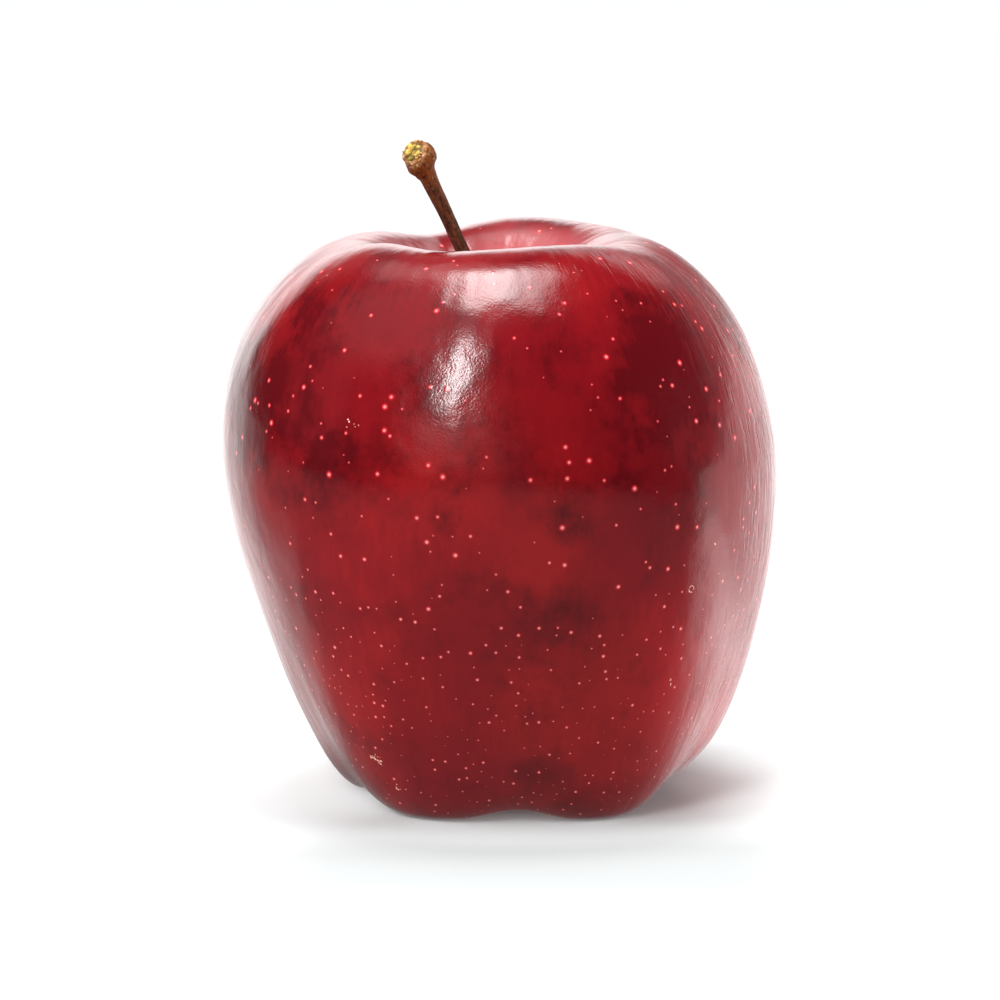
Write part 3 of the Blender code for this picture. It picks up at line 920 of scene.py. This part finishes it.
def add_thread(bm, root, direction, length, radius, bend, joints=3):
    """A thin three-sided thread that bends and tapers to a point. Returns its tip."""
    aside = direction.orthogonal().normalized()
    across = direction.cross(aside)
    rings = []
    for joint in range(joints):
        share = joint / joints
        middle = root + direction * length * share + bend * length * share * share
        width = radius * (1.0 - share * THREAD_TAPER)
        rings.append([
            bm.verts.new(middle + (aside * math.cos(angle) + across * math.sin(angle)) * width)
            for angle in (math.tau * side / THREAD_SIDES for side in range(THREAD_SIDES))
        ])
    tip = root + direction * length + bend * length
    point = bm.verts.new(tip)
    bm.faces.new(rings[0][::-1])
    for low, high in zip(rings, rings[1:]):
        for side in range(THREAD_SIDES):
            after = (side + 1) % THREAD_SIDES
            bm.faces.new((low[side], low[after], high[after], high[side]))
    for side in range(THREAD_SIDES):
        bm.faces.new((rings[-1][side], rings[-1][(side + 1) % THREAD_SIDES], point))
    return tip


def random_vector(dice, spread):
    return Vector([dice.gauss(0.0, spread) for _ in range(3)])


dice = random.Random(DOWN_SEED)
down_bm = bmesh.new()
calyx_bm = bmesh.new()
calyx_bm.from_mesh(calyx.data)
calyx_faces = list(calyx_bm.faces)
face_sizes = [face.calc_area() for face in calyx_faces]
for face in dice.choices(calyx_faces, face_sizes, k=DOWN_HAIRS):
    root = face.calc_center_median() - face.normal * DOWN_RADIUS
    direction = (face.normal + random_vector(dice, DOWN_SPREAD)).normalized()
    if direction.dot(face.normal) < DOWN_FLATTEST:
        direction = face.normal.copy()
    bend = random_vector(dice, DOWN_BEND)
    add_thread(down_bm, root, direction, dice.uniform(*DOWN_LENGTH), DOWN_RADIUS, bend)
calyx_bm.free()

for _ in range(STAMENS):
    angle = dice.uniform(0.0, math.tau)
    apart = STAMEN_RING * math.sqrt(dice.random())
    outwards = Vector((math.cos(angle), math.sin(angle), 0.0))
    start = calyx_middle + outwards * apart
    start.z = calyx_low.z - BELOW_CALYX
    place, *_ = calyx_shape.ray_cast(start, UP)
    if place is None:
        continue
    direction = (outwards * STAMEN_LEAN - UP + random_vector(dice, STAMEN_SPREAD)).normalized()
    bend = random_vector(dice, STAMEN_BEND)
    root = place - direction * STAMEN_SUNK
    tip = add_thread(down_bm, root, direction, dice.uniform(*STAMEN_LENGTH), STAMEN_RADIUS, bend)
    anther = bmesh.ops.create_icosphere(down_bm, subdivisions=1, radius=ANTHER_RADIUS)["verts"]
    for vert in anther:
        vert.co = vert.co * ANTHER_SHAPE + tip

down_material, down_graph = new_material("calyx_down")
down_tone = down_graph.noise(down_graph.object_place(), *DOWN_TONES)
down_colour = down_graph.blend(DOWN_BUFF, DOWN_GREY, down_graph.fade(down_tone, *DOWN_MIX))
surface(down_graph, UNWAXED, down_colour, 0.7 + down_tone * 0.2)

down = made_of("calyx_down", down_bm, down_material)
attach(down, "root")


# ================================================================ the floor
#
# A wide sheet of plain white paper that the apple stands on, with a painted shadow just in front of it
# and painted pools of light beside it, seen by the camera; unseen by it, the paper glows most behind the
# apple and at its sides, and that painted light comes up on to the skin.

FLOOR_SIZE = 12.0
PAPER_WHITE = (0.556, 0.578, 0.580, 1.0)
# a painted shadow, seen by the camera, on the paper just in front of the apple
PAPER_PAINTED_SHADOW = (0.372, 0.387, 0.388, 1.0)
SHADE_NEAR, SHADE_FAR = (-0.021, -0.041), (-0.084, -0.056)  # y between which it fades in and out
SHADE_SLANT = 0.06
SHADE_MIDDLE, SHADE_WIDTH = 0.004, (0.055, 0.025)
PAPER_GRAIN = 6.0  # for each metre
PAPER_PAINTED_LIFT = (0.03, 0.03, 0.03, 1.0)  # a faint painted glow that the camera sees: how much of its white stays in a shadow
PAPER_PAINTED_POOLS = (  # pools of painted light beside the apple and at its front, seen by the camera: middle in x and y, reach in x and y, strength
    (-0.022, 0.004, 0.016, 0.030, 0.30),
    (0.036, 0.004, 0.014, 0.028, 0.12),
    (0.003, -0.026, 0.024, 0.014, 0.14),
)

# The painted glow of each part of the paper, unseen by the camera, that stands in for the light it throws
# back on to
# the skin: its strength, and the distances from the apple, the x, the y or the directions (middle, inner
# and outer degrees) that it fades in between.
FRONT, FRONT_FAR = 0.32, (0.80, 0.22)
RIGHT, RIGHT_X, RIGHT_Y = 1.10, (0.018, 0.045), (-0.030, 0.010)
PATCH, PATCH_X, PATCH_Y, PATCH_FAR = 1.4, (0.044, 0.088), (0.060, 0.025), (0.32, 0.14)
NEAR_LEFT, NEAR_LEFT_X, NEAR_LEFT_Y, NEAR_LEFT_FAR = 0.57, (-0.022, -0.034), (-0.012, 0.020), (0.16, 0.09)
LEFT, LEFT_TURN, LEFT_FAR = 1.05, (-150.0, 12.0, 42.0), (0.03, 0.16)
BEHIND, BEHIND_TURN, BEHIND_FAR = 0.6, (180.0, 20.0, 50.0), (0.08, 0.25)
PAPER = {"Specular IOR Level": 0.0, "Emission Strength": 1.0}
BLACK = (0.0, 0.0, 0.0, 1.0)
WHITE = (1.0, 1.0, 1.0, 1.0)
DEGREES = 180.0 / math.pi


def turn_of(graph, x, y):
    """The direction round the apple in degrees: 0 in front, and 90 on the right."""
    return graph.math("ARCTAN2", x, 0.0 - y) * DEGREES


def turn_between(graph, turn, middle):
    return graph.math("WRAP", turn - middle, 180.0, -180.0)


def near_turn(graph, turn, middle, inner, outer):
    """1 within inner degrees of a direction round the apple, and 0 past outer degrees."""
    return graph.fade(abs(turn_between(graph, turn, middle)), outer, inner)


paper_material, paper_graph = new_material("white_paper")
paper_at = paper_graph.object_place()
paper_x, paper_y, _ = paper_graph.split(paper_at)
paper_far = paper_graph.far(paper_x, paper_y)
paper_turn = turn_of(paper_graph, paper_x, paper_y)
paper_tone = paper_graph.noise(paper_at, PAPER_GRAIN)
paper_patch = (
    paper_graph.fade(paper_x, *PATCH_X) * paper_graph.fade(paper_y, *PATCH_Y)
    * paper_graph.fade(paper_far, *PATCH_FAR)
)
# the painted glow that lights the skin, unseen by the camera
paper_glow = (
    paper_graph.fade(paper_far, *FRONT_FAR) * FRONT
    + paper_graph.fade(paper_x, *RIGHT_X) * paper_graph.fade(paper_y, *RIGHT_Y)
    * (RIGHT + paper_patch * PATCH)
    + paper_graph.fade(paper_x, *NEAR_LEFT_X) * paper_graph.fade(paper_y, *NEAR_LEFT_Y)
    * paper_graph.fade(paper_far, *NEAR_LEFT_FAR) * NEAR_LEFT
    + near_turn(paper_graph, paper_turn, *LEFT_TURN) * paper_graph.fade(paper_far, *LEFT_FAR) * LEFT
    + near_turn(paper_graph, paper_turn, *BEHIND_TURN) * paper_graph.fade(paper_far, *BEHIND_FAR) * BEHIND
)
# the painted shadow in front of the apple
paper_painted_shadow = (
    paper_graph.fade(paper_y - paper_x * SHADE_SLANT, *SHADE_NEAR) * paper_graph.fade(paper_y, *SHADE_FAR)
    * paper_graph.fade(abs(paper_x - SHADE_MIDDLE), *SHADE_WIDTH)
)
# pools of painted light, seen by the camera, beside the apple and at its front
paper_painted_pools = 0.0
for pool_x, pool_y, reach_x, reach_y, strength in PAPER_PAINTED_POOLS:
    aside = (paper_x - pool_x) / reach_x
    ahead = (paper_y - pool_y) / reach_y
    paper_painted_pools = paper_graph.fade(aside * aside + ahead * ahead, 1.0, 0.0) * strength + paper_painted_pools

paper_seen = paper_graph.node("ShaderNodeLightPath", {}, {}, "Is Camera Ray")
paper_white = paper_graph.blend(PAPER_WHITE, PAPER_PAINTED_SHADOW, paper_painted_shadow)
surface(
    paper_graph, PAPER,
    paper_graph.blend(BLACK, paper_white, paper_seen), 0.9 + paper_tone * 0.1,
)
# the paper's painted light: for the skin its glow, for the camera its faint lift and the pools
paper_painted_light = paper_graph.blend(
    paper_graph.joined(paper_glow, paper_glow, paper_glow),
    paper_graph.blend(PAPER_PAINTED_LIFT, WHITE, paper_painted_pools), paper_seen,
)
paper_shader = paper_graph.tree.nodes["Principled BSDF"]
paper_graph.tree.links.new(paper_painted_light.socket, paper_shader.inputs["Emission Color"])

bpy.ops.mesh.primitive_plane_add(size=FLOOR_SIZE)
floor = bpy.context.object
floor.name = "floor"
floor.data.materials.append(paper_material)


# ================================================================ the light
#
# A white studio: a broad soft box overhead, a narrow strip in front on the left, white cards that
# wrap round the back, and soft fills from the front, both sides and above in a dark room.

ROOM = 0.03
CEILING_BOXES = (  # on a ceiling 1 m up: middle, outer and inner reach in x, the same in y, strength
    ((0.020, 0.37, 0.09), (0.04, 0.41, 0.20), 9.0),
    ((-0.065, 0.22, 0.02), (0.04, 0.34, 0.20), 9.5),
)
STRIPS = (  # direction (middle, inner, outer degrees), height (middle, outer, inner), strength
    ((-20.5, 1.0, 4.8), (38.0, 21.0, 9.0), 41.0),
    ((-21.0, 6.0, 18.0), (40.0, 45.0, 20.0), 0.9),  # its halo
)
CARDS = (  # direction round the apple, height, half width, half height (degrees), softness, strength
    (-168.0, 4.0, 21.0, 29.0, 0.30, 1.40),  # the backdrop
    (-160.0, 42.0, 24.0, 16.0, 0.30, 0.20),  # its upper left
    (-148.0, 63.0, 22.0, 9.0, 0.50, 1.4),  # the edge of the soft box behind
    (-177.0, 22.0, 13.0, 10.0, 0.50, 1.20),  # the middle of the backdrop
    (-154.0, -4.0, 20.0, 13.0, 0.45, 0.75),  # its foot on the left
    (158.0, 35.0, 19.0, 10.0, 0.35, 1.20),  # its upper right
    (142.0, -6.0, 42.0, 14.0, 0.25, 0.95),  # the wall low on the right
    (138.0, 12.0, 26.0, 18.0, 0.40, 0.34),  # and above that
    (-66.0, 62.0, 50.0, 24.0, 0.50, 0.60),  # a pale wall far on the left
)
LOWEST_CEILING = 0.01  # share of straight up, so that the ceiling stays finite
FILL_SIZE = 0.40
FILL_TARGET = UP * 0.03
FILLS = (  # soft lights that leave no highlight: place, and power in watts
    (Vector((-0.08, -0.66, 0.05)), 2.7),
    (Vector((-0.56, -0.06, 0.24)), 3.2),
    (Vector((0.62, 0.04, 0.06)), 5.5),
    (Vector((0.0, -0.10, 0.85)), 2.6),
)


def band(graph, value, middle, outer, inner):
    """1 within inner of the middle, and 0 past outer."""
    return graph.fade(abs(value - middle), outer, inner)


world = bpy.data.worlds.new("studio")
bpy.context.scene.world = world
world.use_nodes = True
studio = Graph(world.node_tree)
towards_x, towards_y, towards_z = studio.split(studio.node("ShaderNodeTexCoord", {}, {}, "Generated"))
studio_turn = turn_of(studio, towards_x, towards_y)
studio_rise = studio.math("ARCSINE", towards_z) * DEGREES
ceiling_x = towards_x / studio.math("MAXIMUM", towards_z, LOWEST_CEILING)
ceiling_y = towards_y / studio.math("MAXIMUM", towards_z, LOWEST_CEILING)

light = ROOM
for box_x, box_y, strength in CEILING_BOXES:
    light = light + band(studio, ceiling_x, *box_x) * band(studio, ceiling_y, *box_y) * strength
for strip_turn, strip_rise, strength in STRIPS:
    strip = near_turn(studio, studio_turn, *strip_turn) * band(studio, studio_rise, *strip_rise)
    light = light + strip * strength
for middle, height, half_width, half_height, softness, strength in CARDS:
    aside = turn_between(studio, studio_turn, middle) / half_width
    above = (studio_rise - height) / half_height
    light = light + studio.fade(studio.far(aside, above), 1.0 + softness, 1.0 - softness) * strength
studio_seen = studio.node("ShaderNodeLightPath", {}, {}, "Is Camera Ray")
light = light * (1.0 - studio_seen) + studio_seen
world.node_tree.links.new(light.socket, world.node_tree.nodes["Background"].inputs["Color"])

for number, (place, power) in enumerate(FILLS):
    lamp = bpy.data.lights.new(f"soft_fill_{number}", "AREA")
    lamp.energy = power
    lamp.size = FILL_SIZE
    fill = new_object(lamp.name, lamp)
    fill.location = place
    fill.rotation_euler = (place - FILL_TARGET).to_track_quat("Z", "Y").to_euler()
    fill.visible_glossy = False


# ================================================================ the camera
#
# A long lens, a little above the fruit, looking level with its middle.

CAMERA_DISTANCE = 0.75
CAMERA_ELEVATION = math.radians(9.0)
CAMERA_AIM = Vector((0.0001, 0.0, 0.0404))
CAMERA_LENS = 197.6
CAMERA_NEAREST = 0.01

camera = new_object("camera", bpy.data.cameras.new("camera"))
camera.data.lens = CAMERA_LENS
camera.data.clip_start = CAMERA_NEAREST
back = Vector((0.0, -math.cos(CAMERA_ELEVATION), math.sin(CAMERA_ELEVATION)))
camera.location = CAMERA_AIM + back * CAMERA_DISTANCE
camera.rotation_euler = back.to_track_quat("Z", "Y").to_euler()
bpy.context.scene.camera = camera
bpy.context.scene.view_settings.view_transform = "Standard"
